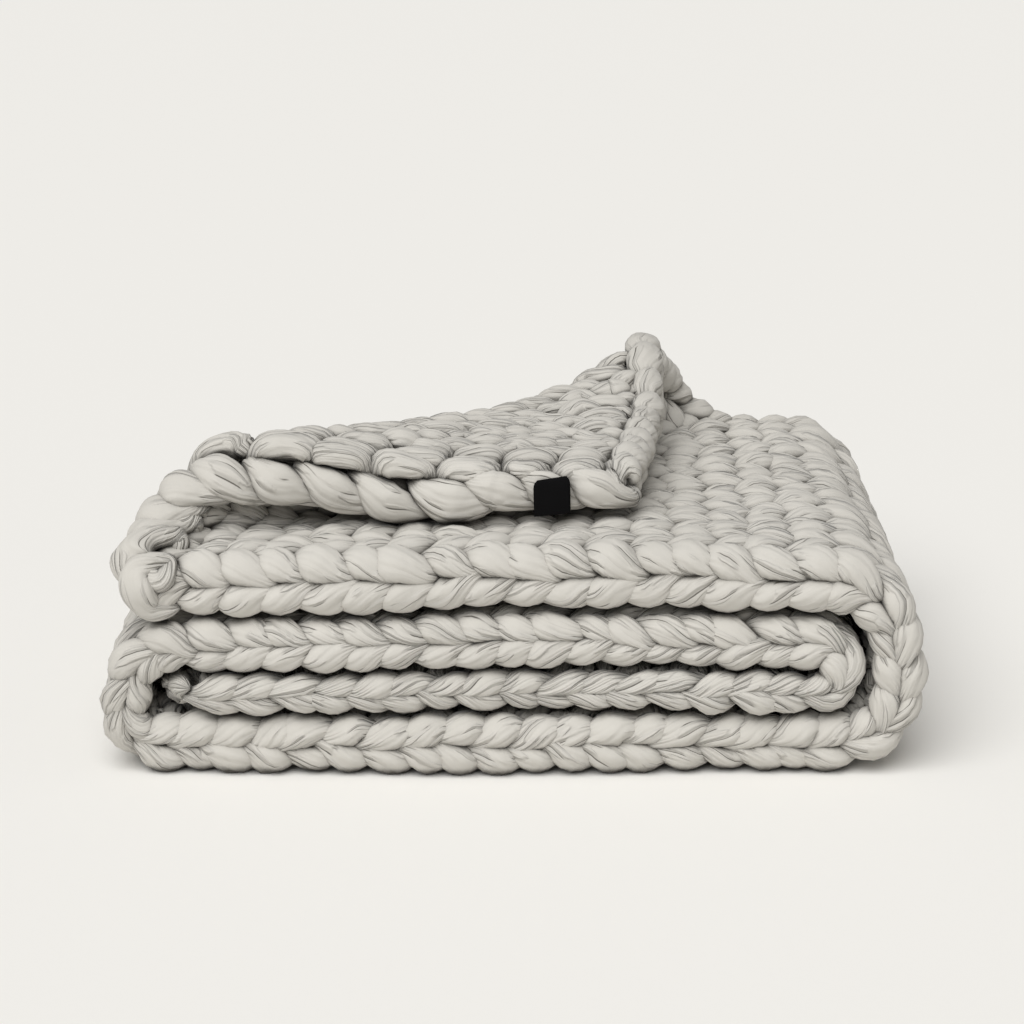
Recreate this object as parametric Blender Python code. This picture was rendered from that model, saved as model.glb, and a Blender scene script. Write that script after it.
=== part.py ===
"""Weighted blanket, folded. One long, thick knitted cloth is laid back and forth in four layers, and the
back-left corner of the top layer is turned over towards the front. A small blank label hangs from the
turned-over end. Metres, +Z up, front towards -Y, resting on z = 0."""

import math

import bmesh
import bpy
import numpy as np

# Sizes of the whole
DEPTH = 0.390  # front edge of the cloth to its back edge
REACH = 0.3045  # middle of the stack to the outer face of the folds at each side
EDGE_ROUND = 0.019  # how far in from an edge of the cloth its rounding starts
EDGE_SQUARE = 2.5  # squareness of that rounding (2 is round)
END_ROUND = 0.018  # the same at the two ends of the cloth
END_FLAT = 0.28  # thickness left at the very tip of an end, as a share
CORNER_ROUND = 0.020  # radius of the cloth's corners, seen from above
CENTRE_X = 0.0002  # moves the finished shape onto the middle of its box
CENTRE_Y = 0.0035

# Layers, bottom to top: height of the middle of the cloth, and its thickness
LAYERS = {
    "bottom": (0.0233, 0.0485),
    "second": (0.0645, 0.0300),
    "third": (0.1025, 0.0420),
    "top": (0.1513, 0.0536),
}

# Folds in the order the cloth takes them: side, layer it comes from, layer it goes to, middle of the stack to
# its outer face, height where it reaches that far, how far its curve reaches in from there, thickness halfway
# round, squareness of its lower half and of its upper half (2 is round)
FOLDS = (
    (1, "second", "third", 0.2590, 0.0830, 0.0190, 0.0340, 2.2, 2.2),
    (-1, "third", "bottom", REACH, 0.0530, 0.0420, 0.0390, 3.2, 2.1),
    (1, "bottom", "top", REACH, 0.0780, 0.0580, 0.0410, 2.8, 2.25),
)
INNER_END_X = -0.2520  # the cloth's first end, inside the stack

# The turned-over corner: the line it turns on, and the cloth past it
TURN_X = 0.2090  # where the line meets the back edge
TURN_ANGLE = math.radians(38.9)  # between the line and the length of the stack
TURN = (
    # along the line from the back edge, radius of the turn, length of the rise before it, how far the cloth is
    # drawn back along the line as it goes round, and the turn's height as a share of a round one's
    (0.00, 0.0450, 0.007, 0.052, 1.95),
    (0.06, 0.0450, 0.010, 0.052, 1.62),
    (0.12, 0.0410, 0.012, 0.044, 1.20),
    (0.20, 0.0300, 0.008, 0.018, 1.00),
    (0.28, 0.0262, 0.004, 0.000, 1.02),
    (0.40, 0.0290, 0.004, 0.000, 1.12),
    (0.50, 0.0365, 0.002, -0.014, 1.05),
    (0.62, 0.0680, 0.002, -0.060, 0.96),
)
FLAP_THICKNESS = 0.042
FLAP_THIN_OVER = 0.060  # length over which the cloth thins to that, half of it before the line
FLAP_HEIGHT = 0.0497  # middle of the top layer to the middle of the flap lying on it
FLAP_SETTLE = 0.120  # length over which the flap comes down from the turn
FLAP_SLANT = -0.20  # how far the flap leans along the line, per metre of flap
OUTER_END_X = (-0.2940, -0.2240)  # the cloth's last end before it is turned over: front edge, back edge

# Unevenness of the hand-made cloth
SWELL = 0.030  # thickness, as a share
SWELL_LENGTH = 0.190
SWAY = 0.0030  # front and back edges, towards the front or the back
SWAY_LENGTH = 0.430
LEAN = 0.010  # width of the stack from its front to its back, as a share
SAG = 0.012  # height of the stack along its length, as a share

# Label
LABEL_WIDTH = 0.0270
LABEL_THICKNESS = 0.0016
LABEL_GAP = 0.00035
LABEL_FROM_CORNER = 0.0535  # middle of the label to the flap's corner, along the end
LABEL_RISE = 0.0110  # how far it goes up the end of the cloth from its middle
LABEL_DROP = 0.0165  # how far it hangs below the middle
LABEL_TILT = 0.09  # how much higher its corner-side edge is than its other edge, as a share of its width
LABEL_CORNER = 0.0025
LABEL_RING = ((-1, 0), (-0.3, 0), (0.3, 0), (1, 0), (1, 1), (0.3, 1), (-0.3, 1), (-1, 1), (-1, 0))  # across, layer

# Fineness of the surface
ACROSS = 13  # points across each face of the cloth
ROUND_THE_EDGE = 4  # points between the faces at each edge
FLAT_STEPS = 4  # sections along a flat layer
FOLD_STEPS = 11  # sections round a fold
TURN_STEPS = 17  # sections over the turn and the flap
FLAP_COARSE = 0.38  # how much sparser the sections are on the flap than round the turn
END_DEPTHS = (0.62, 0.30, 0.09, 0.0)  # sections at an end, as shares of END_ROUND from the tip
PATH_POINTS = 64  # points along each fold of the path that the sections are taken from
TURN_POINTS = 40  # steps in which the turn's shape is added up
NUDGE = 1e-4  # step used to find which way the cloth faces


def eased(value):
    """0 to 1, starting and ending gently."""
    held = np.clip(value, 0, 1)
    return held * held * (3 - 2 * held)


def fold_path(side, start, end, face, belly, reach_in, thin, lower, upper):
    """x, height and thickness of the cloth's middle round one fold."""
    start_height, start_thickness = LAYERS[start]
    end_height, end_thickness = LAYERS[end]
    middle = side * (face - thin / 2 - reach_in)
    turn = np.linspace(-math.pi / 2, math.pi / 2, PATH_POINTS)
    if end_height < start_height:
        turn = turn[::-1]
    power = 2 / np.where(turn < 0, lower, upper)
    tall = np.where(turn < 0, belly - min(start_height, end_height), max(start_height, end_height) - belly)
    x = middle + side * reach_in * np.abs(np.cos(turn)) ** power
    height = belly + tall * np.sign(np.sin(turn)) * np.abs(np.sin(turn)) ** power
    thickness = start_thickness + (end_thickness - start_thickness) * np.linspace(0, 1, PATH_POINTS)
    thickness = thickness + (thin - thickness) * np.cos(turn) ** 2
    return np.stack([x, height, thickness], 1)


def whole_path():
    """Length along the cloth, x, height and thickness of its middle, and the lengths where folds start and end."""
    parts = [np.array([(INNER_END_X, *LAYERS["second"])])]
    parts += [fold_path(*fold) for fold in FOLDS]
    parts += [np.array([(-REACH, *LAYERS["top"])])]
    path = np.concatenate(parts)
    length = np.concatenate([[0], np.cumsum(np.hypot(*np.diff(path[:, :2], axis=0).T))])
    starts = [1 + i * PATH_POINTS for i in range(len(FOLDS))]
    marks = [(length[i], length[i + PATH_POINTS - 1]) for i in starts]
    return length, path, marks


LENGTH, PATH, MARKS = whole_path()
TOP_START = MARKS[-1][1]  # length along the cloth where the top layer starts
TOP_START_X = PATH[-2, 0]
ALONG = np.array((-math.cos(TURN_ANGLE), -math.sin(TURN_ANGLE)))
PAST = np.array((-math.sin(TURN_ANGLE), math.cos(TURN_ANGLE)))
TURN_TABLE = np.array(TURN)


def end_length(v):
    """Length along the cloth at which it ends, at v across it."""
    share = v / DEPTH + 0.5
    end_x = OUTER_END_X[0] + (OUTER_END_X[1] - OUTER_END_X[0]) * share
    return TOP_START + TOP_START_X - end_x


def turned(x, v):
    """Plan position of a point of the top layer once the corner is turned over, its rise, and how far it was past
    the line that the corner turns on."""
    dx = x - TURN_X
    dy = v - DEPTH / 2
    along = dx * ALONG[0] + dy * ALONG[1]
    past = dx * PAST[0] + dy * PAST[1]
    radius = np.interp(along, TURN_TABLE[:, 0], TURN_TABLE[:, 1])
    rise = np.interp(along, TURN_TABLE[:, 0], TURN_TABLE[:, 2])
    tall = np.interp(along, TURN_TABLE[:, 0], TURN_TABLE[:, 4])
    gone = past + rise  # cloth since it left the layer below
    full = math.pi * radius + rise  # cloth used when it faces back the other way
    used = np.clip(gone, 0, full)
    over = 0.0
    up = 0.0
    for i in range(TURN_POINTS):
        here = used * (i + 0.5) / TURN_POINTS
        bend = np.where(here < 2 * rise, here**2 / (4 * rise * radius), (here - rise) / radius)
        over = over + np.cos(bend) * used / TURN_POINTS
        up = up + np.sin(bend) * used / TURN_POINTS * tall
    rest = np.maximum(gone - full, 0)
    up = np.where(rest > 0, up + (FLAP_HEIGHT - up) * eased(rest / FLAP_SETTLE), up)
    over = np.where(gone < 0, past, over - rise - rest)
    drawn = np.interp(along, TURN_TABLE[:, 0], TURN_TABLE[:, 3])
    along = along + FLAP_SLANT * rest - drawn * eased(gone / full)
    plan_x = TURN_X + ALONG[0] * along + PAST[0] * over
    plan_y = DEPTH / 2 + ALONG[1] * along + PAST[1] * over
    return plan_x, plan_y, up, past


def uneven(place, s):
    """The place moved by the stack's small leans, sags and swaying edges."""
    x, y, z = place[..., 0], place[..., 1], place[..., 2]
    wide = x * (1 - LEAN * (0.5 + y / DEPTH) - LEAN * 0.5 * np.sin(9 * y + 1))
    deep = y + SWAY * np.sin(2 * math.pi * s / SWAY_LENGTH + 0.8) * (y / DEPTH * 2)
    tall = z * (1 + SAG * np.sin(7.5 * x + 0.6) + SAG * 0.5 * np.sin(11 * x - 6 * y))
    return np.stack([wide - CENTRE_X, deep - CENTRE_Y, tall], -1)


def rested(points):
    """The same points, pressed flat where the cloth rests on the surface."""
    return np.concatenate([points[..., :2], np.maximum(points[..., 2:], 0)], -1)


def middle_at(s, v):
    """Place of the middle of the cloth, s along it and v across it."""
    x = np.interp(s, LENGTH, PATH[:, 0])
    x = np.where(s > LENGTH[-1], TOP_START_X - (s - TOP_START), x)
    height = np.interp(s, LENGTH, PATH[:, 1])
    top_x, top_y, up, _ = turned(x, v)
    on_top = s > TOP_START
    place = np.stack([np.where(on_top, top_x, x), np.where(on_top, top_y, v), height + np.where(on_top, up, 0)], -1)
    return uneven(place, s)


def facing_at(s, v):
    """Which way the knit side of the cloth faces."""
    length_way = middle_at(s + NUDGE, v) - middle_at(s - NUDGE, v)
    width_way = middle_at(s, v + NUDGE) - middle_at(s, v - NUDGE)
    facing = np.cross(width_way, length_way)
    return facing / np.linalg.norm(facing, axis=-1, keepdims=True)


def half_thickness_at(s, v):
    thickness = np.interp(s, LENGTH, PATH[:, 2])
    past = turned(TOP_START_X - (s - TOP_START), v)[3]
    turned_share = np.where(s > TOP_START, eased(0.5 + past / FLAP_THIN_OVER), 0)
    thickness = thickness + (FLAP_THICKNESS - thickness) * turned_share
    return thickness / 2 * (1 - SWELL * 0.5 * (1 + np.sin(2 * math.pi * s / SWELL_LENGTH + 14 * v)))


def cloth_point(s, v, n):
    """A point n away from the middle of the cloth, towards its knit side."""
    return middle_at(s, v) + facing_at(s, v) * n[..., None]


def section_ring():
    """Once round a section: share across the flat part, how far round the edge, and share of the thickness."""
    across = np.linspace(-1, 1, ACROSS)
    turn = np.linspace(math.pi / 2, -math.pi / 2, ROUND_THE_EDGE + 2)[1:-1]
    rows = [(share, 0.0, 1.0) for share in across]
    outward = np.cos(turn) ** (2 / EDGE_SQUARE)
    upward = np.sign(turn) * np.abs(np.sin(turn)) ** (2 / EDGE_SQUARE)
    rows += [(1.0, out, up) for out, up in zip(outward, upward)]
    rows += [(share, 0.0, -1.0) for share in across[::-1]]
    rows += [(-1.0, -out, -up) for out, up in zip(outward, upward)]
    rows.append(rows[0])
    return np.array(rows)


def steps_between(start, end, count):
    """count values from start up to, but not including, end."""
    return list(np.linspace(start, end, count, endpoint=False))


def sections(v):
    """Lengths along the cloth of every section at v across it, one row a section. Over the turn they follow it."""
    lengths = [END_ROUND * depth for depth in END_DEPTHS[::-1]]
    at = END_ROUND
    for start, end in MARKS:
        lengths += steps_between(at, start, FLAT_STEPS)
        lengths += steps_between(start, end, FOLD_STEPS)
        at = end
    rows = [np.full_like(v, length) for length in lengths]
    last = end_length(v) - END_ROUND
    line_x = TURN_X + (v - DEPTH / 2) / math.tan(TURN_ANGLE)
    along = (line_x - TURN_X) * ALONG[0] + (v - DEPTH / 2) * ALONG[1]
    radius = np.interp(along, TURN_TABLE[:, 0], TURN_TABLE[:, 1])
    rise = np.interp(along, TURN_TABLE[:, 0], TURN_TABLE[:, 2])
    lift = TOP_START + TOP_START_X - line_x - rise / math.sin(TURN_ANGLE)
    rows += [TOP_START + (lift - TOP_START) * share for share in steps_between(0, 1, FLAT_STEPS)]
    full = (math.pi * radius + rise) / math.sin(TURN_ANGLE)
    total = last - lift
    weight = np.minimum(total, full) + FLAP_COARSE * np.maximum(total - full, 0)
    for share in np.linspace(0, 1, TURN_STEPS):
        reached = share * weight
        rows.append(lift + np.where(reached < full, reached, full + (reached - full) / FLAP_COARSE))
    rows += [end_length(v) - END_ROUND * depth for depth in END_DEPTHS]
    return np.array(rows)


def rounded(distance, radius):
    """Share of the full size at this distance in from a rounded end."""
    short = 1 - np.clip(distance / radius, 0, 1)
    return np.sqrt(1 - short**2)


def blanket_points():
    """Every point of the blanket's surface, one row a section."""
    ring = section_ring()
    flat_half = DEPTH / 2 - EDGE_ROUND
    v = ring[:, 0] * flat_half + ring[:, 1] * EDGE_ROUND
    s = sections(v)
    from_end = np.minimum(s, end_length(v) - s)
    corner = CORNER_ROUND * (1 - rounded(from_end, CORNER_ROUND))
    tucked = v * (1 - corner / (DEPTH / 2))
    s = np.where(s > TOP_START, s + end_length(tucked) - end_length(v), s)
    thinned = END_FLAT + (1 - END_FLAT) * rounded(from_end, END_ROUND)
    return rested(cloth_point(s, tucked, ring[:, 2] * half_thickness_at(s, tucked) * thinned))


def new_material(name, colour, roughness):
    material = bpy.data.materials.new(name)
    material.use_nodes = True
    surface = material.node_tree.nodes["Principled BSDF"]
    surface.inputs["Base Color"].default_value = (*colour, 1)
    surface.inputs["Roughness"].default_value = roughness
    material.diffuse_color = (*colour, 1)
    return material


def skin(name, points, material, collection):
    """A closed body from rows of points: a grid moved onto them, its seam joined and its two ends filled."""
    rows, columns = points.shape[:2]
    mesh = bpy.data.meshes.new(name)
    bm = bmesh.new()
    bmesh.ops.create_grid(bm, x_segments=columns - 1, y_segments=rows - 1, size=0.5)
    bm.verts.ensure_lookup_table()
    for vert in bm.verts:
        column = round((vert.co.x + 0.5) * (columns - 1))
        row = round((vert.co.y + 0.5) * (rows - 1))
        vert.co = points[row, column]
    bmesh.ops.remove_doubles(bm, verts=bm.verts, dist=1e-6)
    bmesh.ops.holes_fill(bm, edges=bm.edges, sides=columns)
    bmesh.ops.recalc_face_normals(bm, faces=bm.faces)
    bm.to_mesh(mesh)
    bm.free()
    mesh.materials.append(material)
    for polygon in mesh.polygons:
        polygon.use_smooth = True
    made = bpy.data.objects.new(name, mesh)
    collection.objects.link(made)
    return made


def label_place(height, layer, half):
    """How far past the last rounding, and how high above the middle, a point of the label is. It follows the tip."""
    share = np.clip((height / half - END_FLAT) / (1 - END_FLAT), 0, 1)
    away = LABEL_GAP + layer * LABEL_THICKNESS
    return (END_ROUND + away) * math.sqrt(1 - share**2), height + away * share


def label_points():
    """The label's surface: a thin strip that comes round the end of the flap and hangs down in front of it."""
    v_middle = DEPTH / 2 - LABEL_FROM_CORNER
    half = half_thickness_at(end_length(v_middle) - END_ROUND, v_middle)
    edges = v_middle + np.array((-0.5, 0.5)) * LABEL_WIDTH
    drawn_out = np.linalg.norm(np.diff(middle_at(end_length(edges), edges), axis=0)) / LABEL_WIDTH
    heights = np.concatenate([np.linspace(LABEL_RISE, 0, 6), np.array((-0.3, -0.6, -0.85, -1.0)) * LABEL_DROP])
    rows = []
    for height in heights:
        inset = min(LABEL_RISE - height, height + LABEL_DROP)
        narrow = LABEL_CORNER * (1 - rounded(inset + 0.0002, LABEL_CORNER))
        row = []
        for side, layer in LABEL_RING:
            tilted = height + side * LABEL_TILT * LABEL_WIDTH / 2
            reach, lift = label_place(tilted, layer, half)
            v = v_middle + side * (LABEL_WIDTH / 2 - narrow) / drawn_out
            row.append((end_length(v) - END_ROUND + reach, v, -lift))
        rows.append(row)
    s, v, n = np.moveaxis(np.array(rows), -1, 0)
    return cloth_point(s, v, n)


for old in list(bpy.data.objects):
    bpy.data.objects.remove(old)
folder = bpy.data.collections.new("folded weighted blanket")
bpy.context.scene.collection.children.link(folder)
skin("blanket", blanket_points(), new_material("knitted cloth", (0.62, 0.60, 0.56), 0.9), folder)
skin("label", label_points(), new_material("label cloth", (0.015, 0.015, 0.017), 0.8), folder)
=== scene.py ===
"""Looks of the folded knitted blanket. Every course of the knit is modelled as one thick, wrinkled yarn that is
laid over the same folds as the solid."""

import math

import bpy
import numpy as np
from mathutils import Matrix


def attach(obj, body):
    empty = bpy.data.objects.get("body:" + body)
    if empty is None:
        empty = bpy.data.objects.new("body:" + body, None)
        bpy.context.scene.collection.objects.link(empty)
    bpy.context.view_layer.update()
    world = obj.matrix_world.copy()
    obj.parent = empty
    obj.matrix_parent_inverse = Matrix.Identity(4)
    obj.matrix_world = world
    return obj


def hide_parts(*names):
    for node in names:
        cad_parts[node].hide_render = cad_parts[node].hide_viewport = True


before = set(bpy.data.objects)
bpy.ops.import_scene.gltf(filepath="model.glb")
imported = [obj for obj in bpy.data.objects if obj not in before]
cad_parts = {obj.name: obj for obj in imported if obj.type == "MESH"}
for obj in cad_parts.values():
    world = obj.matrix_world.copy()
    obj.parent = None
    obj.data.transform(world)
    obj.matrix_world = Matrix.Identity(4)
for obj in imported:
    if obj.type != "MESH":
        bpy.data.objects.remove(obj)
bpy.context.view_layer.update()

# Sizes of the whole
DEPTH = 0.390  # front edge of the cloth to its back edge
REACH = 0.3045  # middle of the stack to the outer face of the folds at each side
EDGE_ROUND = 0.019  # how far in from an edge of the cloth its rounding starts
EDGE_SQUARE = 2.5  # squareness of that rounding (2 is round)
END_ROUND = 0.018  # the same at the two ends of the cloth
END_FLAT = 0.28  # thickness left at the very tip of an end, as a share
CORNER_ROUND = 0.020  # radius of the cloth's corners, seen from above
CENTRE_X = 0.0002  # moves the finished shape onto the middle of its box
CENTRE_Y = 0.0035

# Layers, bottom to top: height of the middle of the cloth, and its thickness
LAYERS = {
    "bottom": (0.0233, 0.0485),
    "second": (0.0645, 0.0300),
    "third": (0.1025, 0.0420),
    "top": (0.1513, 0.0536),
}

# Folds in the order the cloth takes them: side, layer it comes from, layer it goes to, middle of the stack to
# its outer face, height where it reaches that far, how far its curve reaches in from there, thickness halfway
# round, squareness of its lower half and of its upper half (2 is round)
FOLDS = (
    (1, "second", "third", 0.2590, 0.0830, 0.0190, 0.0340, 2.2, 2.2),
    (-1, "third", "bottom", REACH, 0.0530, 0.0420, 0.0390, 3.2, 2.1),
    (1, "bottom", "top", REACH, 0.0780, 0.0580, 0.0410, 2.8, 2.25),
)
INNER_END_X = -0.2520  # the cloth's first end, inside the stack

# The turned-over corner: the line it turns on, and the cloth past it
TURN_X = 0.2090  # where the line meets the back edge
TURN_ANGLE = math.radians(38.9)  # between the line and the length of the stack
TURN = (
    # along the line from the back edge, radius of the turn, length of the rise before it, how far the cloth is
    # drawn back along the line as it goes round, and the turn's height as a share of a round one's
    (0.00, 0.0450, 0.007, 0.052, 1.95),
    (0.06, 0.0450, 0.010, 0.052, 1.62),
    (0.12, 0.0410, 0.012, 0.044, 1.20),
    (0.20, 0.0300, 0.008, 0.018, 1.00),
    (0.28, 0.0262, 0.004, 0.000, 1.02),
    (0.40, 0.0290, 0.004, 0.000, 1.12),
    (0.50, 0.0365, 0.002, -0.014, 1.05),
    (0.62, 0.0680, 0.002, -0.060, 0.96),
)
FLAP_THICKNESS = 0.042
FLAP_THIN_OVER = 0.060  # length over which the cloth thins to that, half of it before the line
FLAP_HEIGHT = 0.0497  # middle of the top layer to the middle of the flap lying on it
FLAP_SETTLE = 0.120  # length over which the flap comes down from the turn
FLAP_SLANT = -0.20  # how far the flap leans along the line, per metre of flap
OUTER_END_X = (-0.2940, -0.2240)  # the cloth's last end before it is turned over: front edge, back edge

# Unevenness of the hand-made cloth
SWELL = 0.030  # thickness, as a share
SWELL_LENGTH = 0.190
SWAY = 0.0030  # front and back edges, towards the front or the back
SWAY_LENGTH = 0.430
LEAN = 0.010  # width of the stack from its front to its back, as a share
SAG = 0.012  # height of the stack along its length, as a share

# Label
LABEL_WIDTH = 0.0270
LABEL_THICKNESS = 0.0016
LABEL_GAP = 0.00035
LABEL_FROM_CORNER = 0.0535  # middle of the label to the flap's corner, along the end
LABEL_RISE = 0.0110  # how far it goes up the end of the cloth from its middle
LABEL_DROP = 0.0165  # how far it hangs below the middle
LABEL_TILT = 0.09  # how much higher its corner-side edge is than its other edge, as a share of its width

PATH_POINTS = 64  # points along each fold of the cloth's path
TURN_POINTS = 40  # steps in which the turn's shape is added up
NUDGE = 1e-4  # step used to find which way the cloth faces
SWELL_SLANT = 14  # how much the swells run aslant, in radians per metre across the cloth


def eased(value):
    """0 to 1, starting and ending gently."""
    held = np.clip(value, 0, 1)
    return held * held * (3 - 2 * held)


def fold_path(side, start, end, face, belly, reach_in, thin, lower, upper):
    """x, height and thickness of the cloth's middle round one fold."""
    start_height, start_thickness = LAYERS[start]
    end_height, end_thickness = LAYERS[end]
    middle = side * (face - thin / 2 - reach_in)
    turn = np.linspace(-math.pi / 2, math.pi / 2, PATH_POINTS)
    if end_height < start_height:
        turn = turn[::-1]
    power = 2 / np.where(turn < 0, lower, upper)
    tall = np.where(turn < 0, belly - min(start_height, end_height), max(start_height, end_height) - belly)
    x = middle + side * reach_in * np.abs(np.cos(turn)) ** power
    height = belly + tall * np.sign(np.sin(turn)) * np.abs(np.sin(turn)) ** power
    thickness = start_thickness + (end_thickness - start_thickness) * np.linspace(0, 1, PATH_POINTS)
    thickness = thickness + (thin - thickness) * np.cos(turn) ** 2
    return np.stack([x, height, thickness], 1)


def whole_path():
    """Length along the cloth, x, height and thickness of its middle, and the lengths where folds start and end."""
    parts = [np.array([(INNER_END_X, *LAYERS["second"])])]
    parts += [fold_path(*fold) for fold in FOLDS]
    parts += [np.array([(-REACH, *LAYERS["top"])])]
    path = np.concatenate(parts)
    length = np.concatenate([[0], np.cumsum(np.hypot(*np.diff(path[:, :2], axis=0).T))])
    starts = [1 + i * PATH_POINTS for i in range(len(FOLDS))]
    marks = [(length[i], length[i + PATH_POINTS - 1]) for i in starts]
    return length, path, marks


LENGTH, PATH, MARKS = whole_path()
TOP_START = MARKS[-1][1]  # length along the cloth where the top layer starts
TOP_START_X = PATH[-2, 0]
ALONG = np.array((-math.cos(TURN_ANGLE), -math.sin(TURN_ANGLE)))
PAST = np.array((-math.sin(TURN_ANGLE), math.cos(TURN_ANGLE)))
TURN_TABLE = np.array(TURN)


def end_length(v):
    """Length along the cloth at which it ends, at v across it."""
    share = v / DEPTH + 0.5
    end_x = OUTER_END_X[0] + (OUTER_END_X[1] - OUTER_END_X[0]) * share
    return TOP_START + TOP_START_X - end_x


def turned(x, v):
    """Plan position of a point of the top layer once the corner is turned over, its rise, and how far it was past
    the line that the corner turns on."""
    dx = x - TURN_X
    dy = v - DEPTH / 2
    along = dx * ALONG[0] + dy * ALONG[1]
    past = dx * PAST[0] + dy * PAST[1]
    radius = np.interp(along, TURN_TABLE[:, 0], TURN_TABLE[:, 1])
    rise = np.interp(along, TURN_TABLE[:, 0], TURN_TABLE[:, 2])
    tall = np.interp(along, TURN_TABLE[:, 0], TURN_TABLE[:, 4])
    gone = past + rise  # cloth since it left the layer below
    full = math.pi * radius + rise  # cloth used when it faces back the other way
    used = np.clip(gone, 0, full)
    over = 0.0
    up = 0.0
    for i in range(TURN_POINTS):
        here = used * (i + 0.5) / TURN_POINTS
        bend = np.where(here < 2 * rise, here**2 / (4 * rise * radius), (here - rise) / radius)
        over = over + np.cos(bend) * used / TURN_POINTS
        up = up + np.sin(bend) * used / TURN_POINTS * tall
    rest = np.maximum(gone - full, 0)
    up = np.where(rest > 0, up + (FLAP_HEIGHT - up) * eased(rest / FLAP_SETTLE), up)
    over = np.where(gone < 0, past, over - rise - rest)
    drawn = np.interp(along, TURN_TABLE[:, 0], TURN_TABLE[:, 3])
    along = along + FLAP_SLANT * rest - drawn * eased(gone / full)
    plan_x = TURN_X + ALONG[0] * along + PAST[0] * over
    plan_y = DEPTH / 2 + ALONG[1] * along + PAST[1] * over
    return plan_x, plan_y, up, past


def uneven(place, s):
    """The place moved by the stack's small leans, sags and swaying edges."""
    x, y, z = place[..., 0], place[..., 1], place[..., 2]
    wide = x * (1 - LEAN * (0.5 + y / DEPTH) - LEAN * 0.5 * np.sin(9 * y + 1))
    deep = y + SWAY * np.sin(2 * math.pi * s / SWAY_LENGTH + 0.8) * (y / DEPTH * 2)
    tall = z * (1 + SAG * np.sin(7.5 * x + 0.6) + SAG * 0.5 * np.sin(11 * x - 6 * y))
    return np.stack([wide - CENTRE_X, deep - CENTRE_Y, tall], -1)


def middle_at(s, v):
    """Place of the middle of the cloth, s along it and v across it."""
    x = np.interp(s, LENGTH, PATH[:, 0])
    x = np.where(s > LENGTH[-1], TOP_START_X - (s - TOP_START), x)
    height = np.interp(s, LENGTH, PATH[:, 1])
    top_x, top_y, up, _ = turned(x, v)
    on_top = s > TOP_START
    place = np.stack([np.where(on_top, top_x, x), np.where(on_top, top_y, v), height + np.where(on_top, up, 0)], -1)
    return uneven(place, s)


def facing_at(s, v):
    """Which way the knit side of the cloth faces."""
    length_way = middle_at(s + NUDGE, v) - middle_at(s - NUDGE, v)
    width_way = middle_at(s, v + NUDGE) - middle_at(s, v - NUDGE)
    facing = np.cross(width_way, length_way)
    return facing / np.linalg.norm(facing, axis=-1, keepdims=True)


def half_thickness_at(s, v):
    """Half the cloth's thickness."""
    thickness = np.interp(s, LENGTH, PATH[:, 2])
    past = turned(TOP_START_X - (s - TOP_START), v)[3]
    turned_share = np.where(s > TOP_START, eased(0.5 + past / FLAP_THIN_OVER), 0)
    thickness = thickness + (FLAP_THICKNESS - thickness) * turned_share
    return thickness / 2 * (1 - SWELL * 0.5 * (1 + np.sin(2 * math.pi * s / SWELL_LENGTH + SWELL_SLANT * v)))


# The knit. X counts half-wales from the middle of the cloth (its edges are at -HALF_WALES and HALF_WALES), Y
# counts courses from the first end, and z is the share of the depth, 1 on the knit side and -1 on the purl side.
WALES = 12
HALF_WALES = 12
COURSES = 81
FIRST_END = 0.012  # from the cloth's first end to the first course
LAST_END = 0.020  # from the last course's heads to the cloth's last end
OVERLAP = 2.2  # courses that one loop is tall
SQUEEZED = 1.3  # courses at the last end over which the loops are drawn closer
SQUEEZE = 0.50  # and to what share of their length
YARN_DEPTH = 0.0085  # middle of the yarn to the knit surface
WALE_X = (0.0, 9.5, 10.5, 11.5, 12.0)  # half-wales from the middle of the cloth at which these are given:
WALE_FLAT = (0.0, 0.164, 0.176, 0.176, 0.176)  # how far out they lie on the cloth's flat face
WALE_EDGE = (0.0, 0.0, 0.45, 1.55, 1.84)  # how far round its edge, as a share of the way down to its middle
EDGE_DEPTH = 0.0100  # depth of the knit at a rounded edge
EDGE_STEPS = 400  # steps in which the way round an edge is added up
WALE_BLUR = 0.45  # half-wales over which the bends in those ways are rounded, to each side
STRETCH_SIZE = (0.72, 1.45)  # smallest and largest change of the yarn's size where the cloth is stretched
THIN_SIZE = 0.35  # share of the yarn's size that doesn't follow the cloth's thickness
FULL_HALF = 0.0205  # half thickness of the cloth that the yarn's sizes are for
END_HALF = 0.0205  # and at its ends
CHAIN_INSET = 0.010  # how far in from the cloth's edges the chains at its ends stop
CHAIN_BACK = 0.02  # from an end to where the cloth's thickness is taken for its chain
CHAIN_SIZE = (1, 1.25)  # smallest and largest change of the chain's size where the cloth is stretched
CHAIN_FIRST = 1.2  # fullness of the first end's chain next to the last end's
CHAIN_STEPS = 9  # points of the yarn to each control point of a chain
LABEL_WALE = HALF_WALES * (DEPTH / 2 - LABEL_FROM_CORNER) / (DEPTH / 2 - CHAIN_INSET)
CHAIN_LOW = 0.0140  # how much lower the last end's chain hangs away from the label
CORNER_ROLL = 0.55  # how much fuller the last end's chain is towards the corner that isn't turned
STITCH = (
    # half-wales from the stitch's middle, courses, depth, half width, half thickness, towards the course's own way
    (-1.00, -0.34, -1.00, 0.0096, 0.0080, -0.1),
    (-0.46, -0.24, -0.84, 0.0084, 0.0074, -0.3),
    (-0.10, 0.08, -0.20, 0.0050, 0.0050, -1.0),
    (-0.10, 0.40, 0.82, 0.0066, 0.0060, -0.3),
    (-0.50, 1.08, 1.00, 0.0108, 0.0089, 0.0),
    (-0.90, 1.72, 0.44, 0.0058, 0.0056, 0.3),
    (-0.94, 1.98, -0.20, 0.0050, 0.0050, 1.0),
    (-0.56, 2.12, -0.86, 0.0086, 0.0074, 0.3),
)
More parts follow.
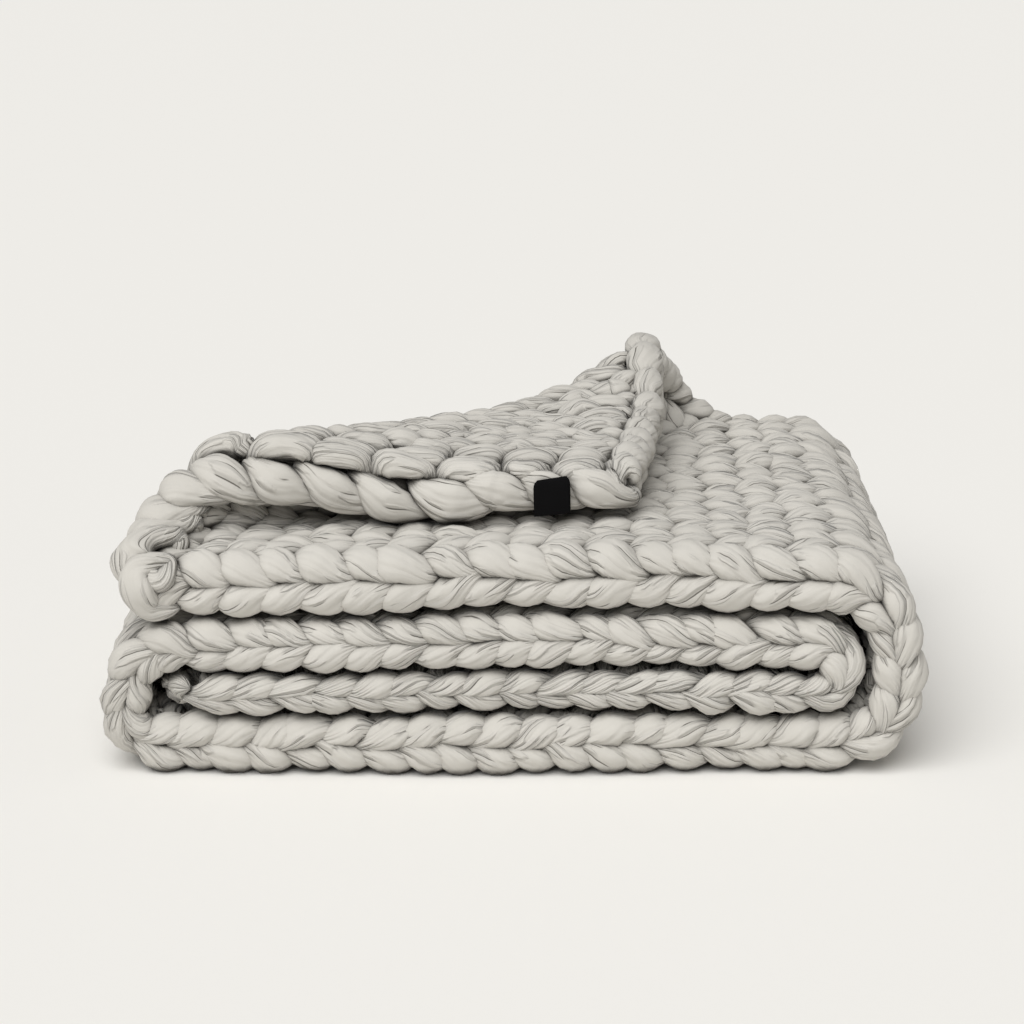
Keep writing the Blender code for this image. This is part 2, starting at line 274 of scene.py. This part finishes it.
HEAD = (0.00, 2.20, -1.00, 0.0098, 0.0082, 0.1)
TURN_BACK = (
    # at an edge of the cloth the yarn goes on to the next course
    (0.62, 0.16, -0.45, 0.0060, 0.0058, -0.8),
    (1.00, 0.50, 0.10, 0.0072, 0.0068, 0.0),
    (0.62, 0.90, -0.45, 0.0060, 0.0058, -0.8),
)
CHAIN = (
    # half-wales from the link's middle, towards the knit side, in from the end, half width, half thickness
    (-1.45, -0.0100, 0.0240, 0.0054, 0.0054),
    (-0.98, -0.0078, 0.0135, 0.0082, 0.0070),
    (0.00, 0.0000, 0.0088, 0.0132, 0.0092),
    (0.98, 0.0078, 0.0150, 0.0082, 0.0070),
    (1.45, 0.0100, 0.0240, 0.0054, 0.0054),
    (1.00, 0.0000, 0.0280, 0.0060, 0.0060),
)
# Every leg of a stitch varies by these: how far its place moves in half-wales, courses and depth, and its size.
# The points of a leg vary by half as much again in place, and by their own share in size
LEG_APART = (0.07, 0.09, 0.05)
LEG_SIZE = 0.075
POINT_SIZE = 0.03
# How far past the turn's line, in metres, the cloth is on the flap, and how far before it the turn and the part
# of the third layer that it uncovers begin
FLAP_FROM = 0.075
TURN_FROM = -0.04
BARE_FROM = -0.06
EDGE_WALES = 4.2  # half-wales in from an edge whose stitches show
PIECES = (
    # the courses of each piece, named by where the cloth lies
    ("second_layer", 0, 18),
    ("third_layer_right", 18, 29),
    ("third_layer_left", 29, 38),
    ("bottom_layer", 38, 58),
    ("outer_fold", 58, 66),
    ("top_layer", 66, 73),
    ("turned_corner", 73, 81),
)
CORNER = (
    # the same from the middle of the cloth, for the loop over the corner that isn't turned
    (-12.0, -0.015, 0.046, 0.0034, 0.0034),
    (-12.3, -0.015, 0.028, 0.0062, 0.0050),
    (-12.6, -0.001, 0.020, 0.0084, 0.0060),
    (-12.4, 0.012, 0.022, 0.0066, 0.0050),
    (-11.9, 0.015, 0.040, 0.0034, 0.0034),
)
SIDES = 16  # points round the yarn
FOLDS = 150  # folds in the yarn's cotton to a metre round it
COTTON_LIGHT = (0.600, 0.578, 0.533)
COTTON_DARK = (0.520, 0.500, 0.458)
# colour of the painted shade in the crevices between the yarns and along their folds
PAINTED_SHADE_COLOUR = (0.050, 0.044, 0.035)
END_ROUNDING = 0.014  # length over which a yarn's end is rounded
EDGE_GROWTH = 0.15  # how much fuller the yarn is round the edges of the cloth
KNIT_SQUARE = 2.2  # squareness of the yarn's section
CREASE_LENGTH = 0.014  # length over which a crease in the yarn comes and goes
CREASE_DEPTH = 0.0011
CREASE_ONSET = 0.55  # how far from even a place has to be before it creases
PINCHED = 0.006  # half width at which the yarn is fully gathered
random = np.random.default_rng(7)
COURSE_END = COURSES - 1 + OVERLAP
PITCH = (end_length(0.0) - FIRST_END - LAST_END) / (COURSE_END - SQUEEZED * (1 - SQUEEZE))


def course_length(Y, v):
    """Length along the cloth of a course at v across it."""
    late = np.maximum(Y - (COURSE_END - SQUEEZED), 0)
    s = FIRST_END + (Y - late * (1 - SQUEEZE)) * PITCH
    stretch = (end_length(v) - LAST_END - TOP_START) / (end_length(0.0) - LAST_END - TOP_START)
    return np.where(s > TOP_START, TOP_START + (s - TOP_START) * stretch, s)


def edge_table():
    """Round the edge of a section from its flat face: share of the way down to the middle, v, n and the two parts
    of the way that the edge faces."""
    turn = np.linspace(0, math.pi * 0.86, EDGE_STEPS)
    power = 2 / EDGE_SQUARE
    v = np.abs(np.sin(turn)) ** power
    n = np.sign(np.cos(turn)) * np.abs(np.cos(turn)) ** power
    length = np.concatenate([[0], np.cumsum(np.hypot(np.diff(v), np.diff(n)))])
    face_v = np.gradient(-n, length + np.arange(EDGE_STEPS) * 1e-9)
    face_n = np.gradient(v, length + np.arange(EDGE_STEPS) * 1e-9)
    return length / np.interp(math.pi / 2, turn, length), v, n, face_v, face_n


EDGE_WAY, EDGE_V, EDGE_N, EDGE_FACE_V, EDGE_FACE_N = edge_table()


def wale_table():
    """Half-wales from the middle, with the ways out along the face and round the edge, its bends rounded."""
    fine = np.linspace(0, HALF_WALES, 481)
    near = np.linspace(-WALE_BLUR, WALE_BLUR, 37)
    flat = np.interp(np.abs(fine[:, None] + near), WALE_X, WALE_FLAT).mean(1)
    edge = np.interp(np.abs(fine[:, None] + near), WALE_X, WALE_EDGE).mean(1)
    return fine, flat - flat[0] * np.clip(1 - fine, 0, 1), edge


WALE_FINE, FLAT_FINE, EDGE_FINE = wale_table()


def across_at(s, v):
    """The way across the cloth, and how much it is stretched that way."""
    across = middle_at(s, v + NUDGE) - middle_at(s, v - NUDGE)
    wide = np.linalg.norm(across, axis=-1) / (2 * NUDGE)
    return across / (wide * 2 * NUDGE)[:, None], wide


def placed(X, Y, z):
    """Place in the frame, the way that the knit side faces there, the way along, and the yarn's size."""
    guess = X / HALF_WALES * DEPTH / 2
    half = half_thickness_at(course_length(Y, guess), guess)
    edge = np.interp(np.abs(X), WALE_FINE, EDGE_FINE)
    side = np.sign(X)
    v_out = np.interp(np.abs(X), WALE_FINE, FLAT_FINE) + EDGE_ROUND * np.interp(edge, EDGE_WAY, EDGE_V)
    n_out = half * np.interp(edge, EDGE_WAY, EDGE_N)
    face_v = np.interp(edge, EDGE_WAY, EDGE_FACE_V)
    face_n = np.interp(edge, EDGE_WAY, EDGE_FACE_N)
    size = np.hypot(face_v, face_n)
    face_v, face_n = face_v / size, face_n / size
    yarn = YARN_DEPTH * half / FULL_HALF
    deep = 2 * (half - yarn)
    deep = deep + (EDGE_DEPTH - deep) * eased(edge / 0.7)
    inset = yarn + (1 - z) / 2 * deep
    v = side * (v_out - inset * face_v)
    n = n_out - inset * face_n
    s = course_length(Y, v)
    facing = facing_at(s, v)
    across, wide = across_at(s, v)
    tall = np.linalg.norm(middle_at(s + NUDGE, v) - middle_at(s - NUDGE, v), axis=-1) / (2 * NUDGE)
    along = np.cross(facing, across)
    out = facing * face_n[:, None] + across * (side * face_v)[:, None]
    grown = np.clip(np.sqrt((wide**2 + tall**2) / 2), *STRETCH_SIZE) * (1 + EDGE_GROWTH * eased(edge / 0.6))
    grown = grown * (THIN_SIZE + (1 - THIN_SIZE) * half / FULL_HALF)
    return middle_at(s, v) + facing * n[:, None], out, along, grown


def placed_at_end(X, n, back, last):
    """Place at an end of the cloth, n towards the knit side and back from the end, the way it faces, and its size."""
    v = X / HALF_WALES * (DEPTH / 2 - CHAIN_INSET)
    thick_at = end_length(v) - CHAIN_BACK if last else np.full_like(v, CHAIN_BACK)
    full = half_thickness_at(thick_at, v) / END_HALF
    n, back = n * full, back * full
    s = end_length(v) - back if last else back
    facing = facing_at(s, v)
    across, wide = across_at(s, v)
    along = np.cross(facing, across) * (1 if last else -1)
    size = np.clip(wide, *CHAIN_SIZE) * (THIN_SIZE + (1 - THIN_SIZE) * full) * (1 if last else CHAIN_FIRST)
    if last:  # the end rolls over at the corner that isn't turned
        size = size * (1 + CORNER_ROLL * eased((-0.25 - X / HALF_WALES) / 0.5))
    corner = eased((-10.2 - X) / 1.6)[:, None]
    return middle_at(s, v) + facing * n[:, None], along * (1 - 0.6 * corner) - across * corner, size


def course_points(course):
    """Control points of a whole course, in the way that the yarn runs, without the ends' sinkers."""
    stitch = np.array([*STITCH, HEAD, *([-row[0], *row[1:]] for row in STITCH[:0:-1])])
    rows = np.tile(stitch, (WALES, 1))
    rows[:, 0] += np.repeat(np.arange(WALES) * 2 - HALF_WALES + 1, len(stitch))
    rows[:, 1] += course
    # every leg has its own size and place, and its points a little more of their own
    leg = np.arange(len(rows)) // (len(stitch) // 2)
    for column, apart in enumerate(LEG_APART):
        rows[:, column] += random.normal(0, apart, leg[-1] + 1)[leg] + random.normal(0, apart / 2, len(rows))
    rows[:, 3:5] *= (random.normal(1, LEG_SIZE, leg[-1] + 1)[leg] * random.normal(1, POINT_SIZE, len(rows)))[:, None]
    rows = rows[2:-1]  # from the first neck to the last neck
    back = np.array(TURN_BACK)
    back[:, 1] += course
    if course % 2:
        rows = rows[::-1]
        back[:, 0] = -(HALF_WALES - 1) - back[:, 0]
    else:
        back[:, 0] += HALF_WALES - 1
    return np.concatenate([rows, back])


def spline(rows, at):
    """Catmull-Rom through the rows, at these positions."""
    i = np.clip(np.floor(at).astype(int), 0, len(rows) - 2)
    f = (at - i)[:, None]
    before, here, after, beyond = (rows[np.clip(i + k, 0, len(rows) - 1)] for k in (-1, 0, 1, 2))
    return 0.5 * (
        2 * here + (after - before) * f
        + (2 * before - 5 * here + 4 * after - beyond) * f**2
        + (3 * here - before - 3 * after + beyond) * f**3
    )


def steps_between(row, z):
    """Points of the yarn between this control point and the next, few where it doesn't show. A stitch shows on
    the flap with its purl side, and at the cloth's edges, on the top layer and round the folds with its knit side.
    So does the part of the third layer that the turned corner uncovers."""
    X, Y = row[0], row[1]
    s = FIRST_END + Y * PITCH
    knit = z > 0
    hidden = int(abs(row[2]) > 0.9)
    if s > TOP_START:
        x = TOP_START_X - (s - TOP_START)
    else:
        x = np.interp(s, LENGTH, PATH[:, 0])
    past = (x - TURN_X) * PAST[0] + (X / HALF_WALES - 1) * DEPTH / 2 * PAST[1]
    if s > TOP_START and past > FLAP_FROM:  # on the flap, its purl side up
        if knit:
            return 3 if Y > COURSES - 4 else 2
        return 4
    if abs(X) > HALF_WALES - EDGE_WALES:
        return (4 if X < 0 or s > MARKS[2][0] else 3) if knit else 2
    if s > TOP_START and past > TURN_FROM:
        return 4 if knit else 2
    if s > MARKS[2][0] - 0.02 or MARKS[1][0] - 0.03 < s < MARKS[1][1] + 0.02:
        return 4 if knit else hidden
    if MARKS[0][1] < s < MARKS[1][0] and past > BARE_FROM:
        return 3 if knit else hidden
    return hidden


def course_tube(name, rows, at):
    """The yarn's piece between the first and the last of these positions."""
    X, Y, z, wide, thick, own_way = spline(rows, at).T
    centre, out, along, size = placed(X, Y, z)
    seen = out * np.clip(z, -1, 1)[:, None] + along * own_way[:, None]
    ends = (at[0] == 0, at[-1] > len(rows) - 2)
    return tube(name, centre, seen, wide * size, thick * size, ends)


def end_chain(name, last):
    """The chain that closes the knit along an end of the cloth."""
    links = np.tile(CHAIN, (WALES, 1))
    links[:, 0] += np.repeat(np.arange(WALES) * 2 - HALF_WALES + 1 + random.normal(0, 0.1, WALES), len(CHAIN))
    links[:, 3:] *= np.repeat(random.normal(1, 0.06, WALES), len(CHAIN))[:, None]
    links[:, 1:3] += random.normal(0, 0.0008, (len(links), 2))
    if last:  # flat under the label, hanging lower away from it, and rolled over at the corner
        near = eased(1.6 - np.abs(links[:, 0] - LABEL_WALE) / 2.4)
        links[:, 4] *= 1 - 0.20 * near
        links[:, 2] += 0.0022 * near
        links[:, 1] += CHAIN_LOW * eased((LABEL_WALE - 2 - links[:, 0]) / 4)
        links[:, 2] += np.where(links[:, 2] > 0.016, 0.010, 0.003) * eased((-4 - links[:, 0]) / 4)
        links = np.concatenate([CORNER, links])
    X, n, back, wide, thick = spline(links, np.arange(0, len(links) - 1, 1 / CHAIN_STEPS)).T
    centre, seen, size = placed_at_end(X, n, back, last)
    return tube(name, centre, seen, wide * size, thick * size, (True, True))


def tube(name, centre, seen, wide, thick, ends):
    """One yarn as a closed mesh round its centre line, with its wide side turned the way it is seen, and with
    rounded ends where it has any."""
    tangent = np.gradient(centre, axis=0)
    tangent /= np.linalg.norm(tangent, axis=1, keepdims=True)
    side = np.cross(tangent, seen)
    side /= np.linalg.norm(side, axis=1, keepdims=True)
    up = np.cross(side, tangent)
    share = np.linspace(-1, 1, SIDES, endpoint=False) + 1 / SIDES
    angle = math.pi * (0.72 * share + 0.28 * share**3)
    level, lift = (np.sign(f(angle)) * np.abs(f(angle)) ** (2 / KNIT_SQUARE) for f in (np.sin, np.cos))
    length = np.concatenate([[0], np.cumsum(np.linalg.norm(np.diff(centre, axis=0), axis=1))])
    for rounded_end, away in zip(ends, (length, length[-1] - length)):
        if rounded_end:
            closing = np.sqrt(np.clip(1 - (1 - away / END_ROUNDING) ** 2, 0.01, 1)) * (away < END_ROUNDING)
            closing += away >= END_ROUNDING
            wide, thick = wide * closing, thick * closing
    # creases: columns of points drawn in over part of the length
    knots = int(length[-1] / CREASE_LENGTH) + 3
    field = random.normal(0, 1, (knots, SIDES))
    where = length / CREASE_LENGTH
    i = np.floor(where).astype(int)
    f = eased(where - i)[:, None]
    crease = np.clip(field[i] * (1 - f) + field[i + 1] * f - CREASE_ONSET, 0, 1.4)
    folds = 0.05 * np.cos(5 * angle[None] + 9 * np.sin(length * 31)[:, None])
    pinch = np.clip(1 - (wide - PINCHED) / PINCHED, 0, 1)[:, None]
    grow = 1 + folds * (0.4 + pinch)
    inward = crease * CREASE_DEPTH
    a = wide[:, None] * grow - inward
    b = thick[:, None] * grow - inward
    points = (
        centre[:, None]
        + side[:, None] * (level * a)[..., None]
        + up[:, None] * (lift * b)[..., None]
    )
    count = len(centre)
    points[..., 2] = np.maximum(points[..., 2], 0)
    vertices = points.reshape(-1, 3)
    ring = np.arange(SIDES)
    first = (np.arange(count - 1)[:, None] * SIDES + ring).ravel()
    second = (np.arange(count - 1)[:, None] * SIDES + (ring + 1) % SIDES).ravel()
    quads = np.stack([first, second, second + SIDES, first + SIDES], 1)
    mesh = bpy.data.meshes.new(name)
    caps = [list(ring[::-1]), list(ring + (count - 1) * SIDES)]
    corners = np.concatenate([quads.ravel(), *caps])
    starts = np.concatenate([np.arange(len(quads)) * 4, len(quads) * 4 + np.array([0, SIDES])])
    mesh.vertices.add(len(vertices))
    mesh.vertices.foreach_set("co", vertices.ravel())
    mesh.loops.add(len(corners))
    mesh.loops.foreach_set("vertex_index", corners.astype(np.int32))
    mesh.polygons.add(len(starts))
    mesh.polygons.foreach_set("loop_start", starts.astype(np.int32))
    mesh.update(calc_edges=True)
    mesh.validate()
    mesh.polygons.foreach_set("use_smooth", np.ones(len(mesh.polygons), bool))
    yarn = np.stack([np.repeat(length, SIDES), np.tile(angle * 0.01, count), np.tile(np.cos(angle), count)], 1)
    mesh.attributes.new("yarn", "FLOAT_VECTOR", "POINT").data.foreach_set("vector", yarn.ravel())
    # how gathered the yarn is: the material raises fine folds there and darkens them with painted shade
    gathered = 0.35 * crease + pinch
    mesh.attributes.new("gathered", "FLOAT", "POINT").data.foreach_set("value", gathered.ravel())
    mesh.materials.append(COTTON)
    made = bpy.data.objects.new(name, mesh)
    bpy.context.scene.collection.objects.link(made)
    return made


def plain_material(name):
    """A new material, with its nodes, its links and its surface."""
    material = bpy.data.materials.new(name)
    material.use_nodes = True
    nodes, links = material.node_tree.nodes, material.node_tree.links
    return material, nodes, links, nodes["Principled BSDF"]


def cotton():
    """Folds along the yarn, the weave of its cotton, and painted shade in its crevices and along its folds."""
    material, nodes, links, surface = plain_material("knitted_cotton")
    surface.inputs["Roughness"].default_value = 0.9
    surface.inputs["Specular IOR Level"].default_value = 0.2
    surface.inputs["Sheen Weight"].default_value = 0.12
    surface.inputs["Sheen Roughness"].default_value = 0.5

    def calc(operation, *values):
        made = nodes.new("ShaderNodeMath")
        made.operation = operation
        for socket, value in zip(made.inputs, values):
            if isinstance(value, (int, float)):
                socket.default_value = value
            else:
                links.new(value, socket)
        return made.outputs[0]

    def vector(operation, *values):
        made = nodes.new("ShaderNodeVectorMath")
        made.operation = operation
        for socket, value in zip(made.inputs, values):
            if isinstance(value, tuple):
                socket.default_value = value
            else:
                links.new(value, socket)
        return made.outputs[0]

    def step(value, low, high):
        made = nodes.new("ShaderNodeMapRange")
        made.interpolation_type = "SMOOTHSTEP"
        made.inputs["From Min"].default_value = low
        made.inputs["From Max"].default_value = high
        links.new(value, made.inputs["Value"])
        return made.outputs[0]

    def noise(place, scale, detail):
        made = nodes.new("ShaderNodeTexNoise")
        made.noise_dimensions = "3D" if place is solid else "2D"
        made.inputs["Scale"].default_value = scale
        made.inputs["Detail"].default_value = detail
        links.new(place, made.inputs["Vector"])
        return made.outputs["Fac"]

    def folds(count, wander):
        """Distance from the nearest of the folds that run along the yarn, as a share of their spacing."""
        return calc("PINGPONG", calc("ADD", calc("MULTIPLY", split.outputs["Y"], count), wander), 0.5)

    def mixed(share, first, second):
        made = nodes.new("ShaderNodeMix")
        made.data_type = "RGBA"
        links.new(share, made.inputs["Factor"])
        for socket, value in ((made.inputs["A"], first), (made.inputs["B"], second)):
            if isinstance(value, tuple):
                socket.default_value = (*value, 1)
            else:
                links.new(value, socket)
        return made.outputs["Result"]

    # the yarn's own coordinates: along it, round it, and how far it has turned down
    yarn = nodes.new("ShaderNodeAttribute")
    yarn.attribute_name = "yarn"
    gathered = nodes.new("ShaderNodeAttribute")
    gathered.attribute_name = "gathered"
    solid = nodes.new("ShaderNodeTexCoord").outputs["Object"]
    split = nodes.new("ShaderNodeSeparateXYZ")
    links.new(yarn.outputs["Vector"], split.inputs[0])
    long_way = vector("MULTIPLY", yarn.outputs["Vector"], (0.5, 1, 1))
    wander = calc("MULTIPLY", noise(long_way, 38, 1.0), 2.2)
    edge = folds(FOLDS, wander)
    fine = folds(FOLDS * 2.3, calc("MULTIPLY", wander, 2.0))
    pulled = gathered.outputs["Fac"]
    present = noise(vector("MULTIPLY", yarn.outputs["Vector"], (0.25, 1, 1)), 110, 1.0)
    present = calc("ADD", calc("SUBTRACT", present, 0.58), calc("MULTIPLY", pulled, 0.25))
    present = step(present, 0.0, 0.09)
    # masks of the fold lines and of the fine gathered folds, which are darkened with painted shade below
    line = calc("MULTIPLY", calc("SUBTRACT", 1.0, step(edge, 0.01, 0.075)), present)
    thin = calc("MULTIPLY", calc("SUBTRACT", 1.0, step(fine, 0.0, 0.12)), pulled)
    # height of the folds, and of the weave of the cotton
    height = calc("MULTIPLY", step(edge, 0.0, 0.40), calc("ADD", calc("MULTIPLY", present, 0.75), 0.25))
    height = calc("ADD", height, calc("MULTIPLY", step(fine, 0.0, 0.4), calc("MULTIPLY", pulled, 0.35)))
    height = calc("ADD", height, calc("MULTIPLY", noise(long_way, 90, 2.0), 0.8))
    height = calc("ADD", height, calc("MULTIPLY", noise(solid, 1500, 2.0), 0.05))
    bump = nodes.new("ShaderNodeBump")
    bump.inputs["Strength"].default_value = 0.75
    bump.inputs["Distance"].default_value = 0.0024
    links.new(height, bump.inputs["Height"])
    links.new(bump.outputs["Normal"], surface.inputs["Normal"])
    # painted shade: darker in the folds, and darker in the crevices where an ambient occlusion node finds the yarn
    # turning down beside its neighbours
    nearby = nodes.new("ShaderNodeAmbientOcclusion")
    nearby.samples = 6
    nearby.inputs["Distance"].default_value = 0.010
    under = calc("SUBTRACT", 1.0, step(nearby.outputs["AO"], 0.22, 0.94))
    tone = mixed(noise(solid, 9, 2.0), COTTON_DARK, COTTON_LIGHT)
    # painted shade in the crevices, mixed in where the occlusion is strong
    shaded = mixed(calc("MULTIPLY", under, 0.95), tone, PAINTED_SHADE_COLOUR)
    # painted shade along the fold lines, and in the fine folds where the yarn is gathered
    share = calc("MINIMUM", calc("ADD", calc("MULTIPLY", line, 0.9), calc("MULTIPLY", thin, 0.28)), 0.9)
    links.new(mixed(share, shaded, PAINTED_SHADE_COLOUR), surface.inputs["Base Color"])
    return material


COTTON = cotton()


def soft_piece(made):
    """A piece of the blanket's yarn."""
    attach(made, "root")
    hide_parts("blanket")


# One yarn runs through every course. It is cut into pieces, each joined to the next
ROWS = [course_points(course) for course in range(COURSES)]
ROWS[-1] = ROWS[-1][:-len(TURN_BACK)]
FIRST_ROWS = np.concatenate([[0], np.cumsum([len(rows) for rows in ROWS])])
ROWS = np.concatenate(ROWS)
STEPS = [steps_between(row, z) for row, z in zip(ROWS[:-1], (ROWS[:-1, 2] + ROWS[1:, 2]) / 2)]
AT = np.concatenate([i + np.arange(count) / count for i, count in enumerate(STEPS)])
for name, start, stop in PIECES:
    first, last = FIRST_ROWS[start], FIRST_ROWS[stop]
    soft_piece(course_tube(name, ROWS, AT[(AT >= first) & (AT <= last)]))
soft_piece(end_chain("cast_off_edge", True))
soft_piece(end_chain("cast_on_edge", False))

# The label: a tape folded double, sewn in by its two ends so that its fold hangs down
TAPE_HALF = 0.00028  # half the tape's own thickness
TAPE_ACROSS = 14  # points across the tape
TAPE_TOP_CORNER = 0.0045  # how far in its top corners are tucked under the yarn


def rounded(distance, radius):
    """Share of the full size at this distance in from a rounded end."""
    short = 1 - np.clip(distance / radius, 0, 1)
    return np.sqrt(1 - short**2)


def label_place(height, layer, half):
    """How far past the last rounding, and how high above the middle, a point of the label is. It follows the tip."""
    share = np.clip((height / half - END_FLAT) / (1 - END_FLAT), 0, 1)
    away = LABEL_GAP + layer * LABEL_THICKNESS
    return (END_ROUND + away) * np.sqrt(1 - share**2), height + away * share


def label_cloth():
    """Black tape with a fine weave."""
    material, nodes, links, surface = plain_material("label_cloth")
    surface.inputs["Roughness"].default_value = 0.85
    surface.inputs["Specular IOR Level"].default_value = 0.12
    tape = nodes.new("ShaderNodeAttribute")
    tape.attribute_name = "tape"
    heights = []
    for way in ("X", "Y"):
        wave = nodes.new("ShaderNodeTexWave")
        wave.bands_direction = way
        wave.inputs["Scale"].default_value = 520
        wave.inputs["Distortion"].default_value = 0.6
        wave.inputs["Detail"].default_value = 1.0
        links.new(tape.outputs["Vector"], wave.inputs["Vector"])
        heights.append(wave.outputs["Fac"])
    weave = nodes.new("ShaderNodeMath")
    weave.operation = "MULTIPLY"
    links.new(heights[0], weave.inputs[0])
    links.new(heights[1], weave.inputs[1])
    tone = nodes.new("ShaderNodeMix")
    tone.data_type = "RGBA"
    tone.inputs["A"].default_value = (0.0012, 0.0011, 0.0013, 1)
    tone.inputs["B"].default_value = (0.0050, 0.0046, 0.0050, 1)
    links.new(weave.outputs[0], tone.inputs["Factor"])
    links.new(tone.outputs["Result"], surface.inputs["Base Color"])
    bump = nodes.new("ShaderNodeBump")
    bump.inputs["Strength"].default_value = 0.5
    bump.inputs["Distance"].default_value = 0.0003
    links.new(weave.outputs[0], bump.inputs["Height"])
    links.new(bump.outputs["Normal"], surface.inputs["Normal"])
    return material


def tape_path():
    """Down the front, round the fold and up the back: layer, height, and the two parts of the way it faces."""
    front = np.linspace(LABEL_RISE, -LABEL_DROP + LABEL_THICKNESS / 2, 15)
    turn = np.linspace(0, math.pi, 9)[1:-1]
    bend = LABEL_THICKNESS / 2 - TAPE_HALF
    rows = [(LABEL_THICKNESS / 2 + bend, h, 1.0, 0.0) for h in front]
    rows += [
        (LABEL_THICKNESS / 2 + bend * math.cos(t), front[-1] - bend * math.sin(t), math.cos(t), -math.sin(t))
        for t in turn
    ]
    rows += [(LABEL_THICKNESS / 2 - bend, h, -1.0, 0.0) for h in front[::-1]]
    return np.array(rows)


def build_label():
    """The tape as a closed mesh along its path, each face on its own side of the path."""
    v_middle = DEPTH / 2 - LABEL_FROM_CORNER
    half = half_thickness_at(end_length(v_middle) - END_ROUND, v_middle)
    edges = v_middle + np.array((-0.5, 0.5)) * LABEL_WIDTH
    drawn_out = np.linalg.norm(np.diff(middle_at(end_length(edges), edges), axis=0)) / LABEL_WIDTH
    path = tape_path()
    down = np.concatenate([[0], np.cumsum(np.hypot(np.diff(path[:, 0]), np.diff(path[:, 1])))])
    side = np.linspace(-1, 1, TAPE_ACROSS)
    faces = []
    for outward in (1, -1):
        away = path[:, 0] + outward * TAPE_HALF * path[:, 2]
        height = path[:, 1] + outward * TAPE_HALF * path[:, 3]
        narrow = TAPE_TOP_CORNER * (1 - rounded(LABEL_RISE - path[:, 1] + 0.0004, 0.006))
        tilted = height[:, None] + side * LABEL_TILT * LABEL_WIDTH / 2
        curl = 0.0007 * np.cos(side * 2.2) * np.clip(LABEL_RISE - height, 0, 0.02)[:, None] / 0.02
        reach, lift = label_place(tilted, (away[:, None] + curl) / LABEL_THICKNESS, half)
        v = v_middle + side * (LABEL_WIDTH / 2 - narrow[:, None]) / drawn_out
        s = end_length(v) - END_ROUND + reach
        faces.append(middle_at(s, v) - facing_at(s, v) * lift[..., None])
    count = len(path)
    points = np.concatenate([faces[0].reshape(-1, 3), faces[1].reshape(-1, 3)])
    n = TAPE_ACROSS
    quads = []
    for i in range(count - 1):
        for j in range(n - 1):
            a, b, c, d = i * n + j, i * n + j + 1, (i + 1) * n + j + 1, (i + 1) * n + j
            quads.append((a, b, c, d))
            quads.append((d + count * n, c + count * n, b + count * n, a + count * n))
    rim = [i * n for i in range(count)] + [(count - 1) * n + j for j in range(1, n)]
    rim += [i * n + n - 1 for i in range(count - 2, -1, -1)] + list(range(n - 2, 0, -1))
    for a, b in zip(rim, rim[1:] + rim[:1]):
        quads.append((a, b, b + count * n, a + count * n))
    mesh = bpy.data.meshes.new("folded_label")
    mesh.from_pydata(points.tolist(), [], quads)
    mesh.update()
    mesh.polygons.foreach_set("use_smooth", np.ones(len(mesh.polygons), bool))
    flat = np.stack(np.broadcast_arrays(side * LABEL_WIDTH / 2, down[:, None], 0.0), -1).reshape(-1, 3)
    tape = mesh.attributes.new("tape", "FLOAT_VECTOR", "POINT")
    tape.data.foreach_set("vector", np.concatenate([flat, flat]).ravel())
    mesh.materials.append(label_cloth())
    made = bpy.data.objects.new("folded_label", mesh)
    bpy.context.scene.collection.objects.link(made)
    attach(made, "root")
    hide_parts("label")


build_label()

# Floor, camera and light
PICTURE_PIXELS = 1024
FOCAL_PIXELS = 3070
CAMERA_AWAY = 2.12  # from the front edge of the cloth
CAMERA_HEIGHT = 0.848
CAMERA_PITCH = 16.87  # degrees below level
floor_mesh = bpy.data.meshes.new("floor")
floor_mesh.from_pydata([(-30, -30, 0), (30, -30, 0), (30, 60, 0), (-30, 60, 0)], [], [(0, 1, 2, 3)])
floor = bpy.data.objects.new("floor", floor_mesh)
bpy.context.scene.collection.objects.link(floor)
floor_material, _, _, floor_surface = plain_material("floor")
floor_surface.inputs["Base Color"].default_value = (0.86, 0.845, 0.81, 1)
floor_surface.inputs["Roughness"].default_value = 0.9
floor_mesh.materials.append(floor_material)

camera_data = bpy.data.cameras.new("camera")
camera = bpy.data.objects.new("camera", camera_data)
bpy.context.scene.collection.objects.link(camera)
camera_data.sensor_width = 36
camera_data.lens = FOCAL_PIXELS / PICTURE_PIXELS * camera_data.sensor_width
camera.location = (0, -DEPTH / 2 - CAMERA_AWAY, CAMERA_HEIGHT)
camera.rotation_euler = (math.radians(90 - CAMERA_PITCH), 0, 0)
bpy.context.scene.camera = camera

world = bpy.data.worlds.new("studio")
world.use_nodes = True
world.node_tree.nodes["Background"].inputs["Color"].default_value = (1.0, 0.99, 0.97, 1)
world.node_tree.nodes["Background"].inputs["Strength"].default_value = 0.30
bpy.context.scene.world = world
sun_data = bpy.data.lights.new("key", "SUN")
sun_data.energy = 2.85
sun_data.angle = math.radians(55)
sun = bpy.data.objects.new("key", sun_data)
sun.rotation_euler = (math.radians(35), math.radians(-16), 0)
bpy.context.scene.collection.objects.link(sun)
bpy.context.scene.view_settings.view_transform = "Standard"
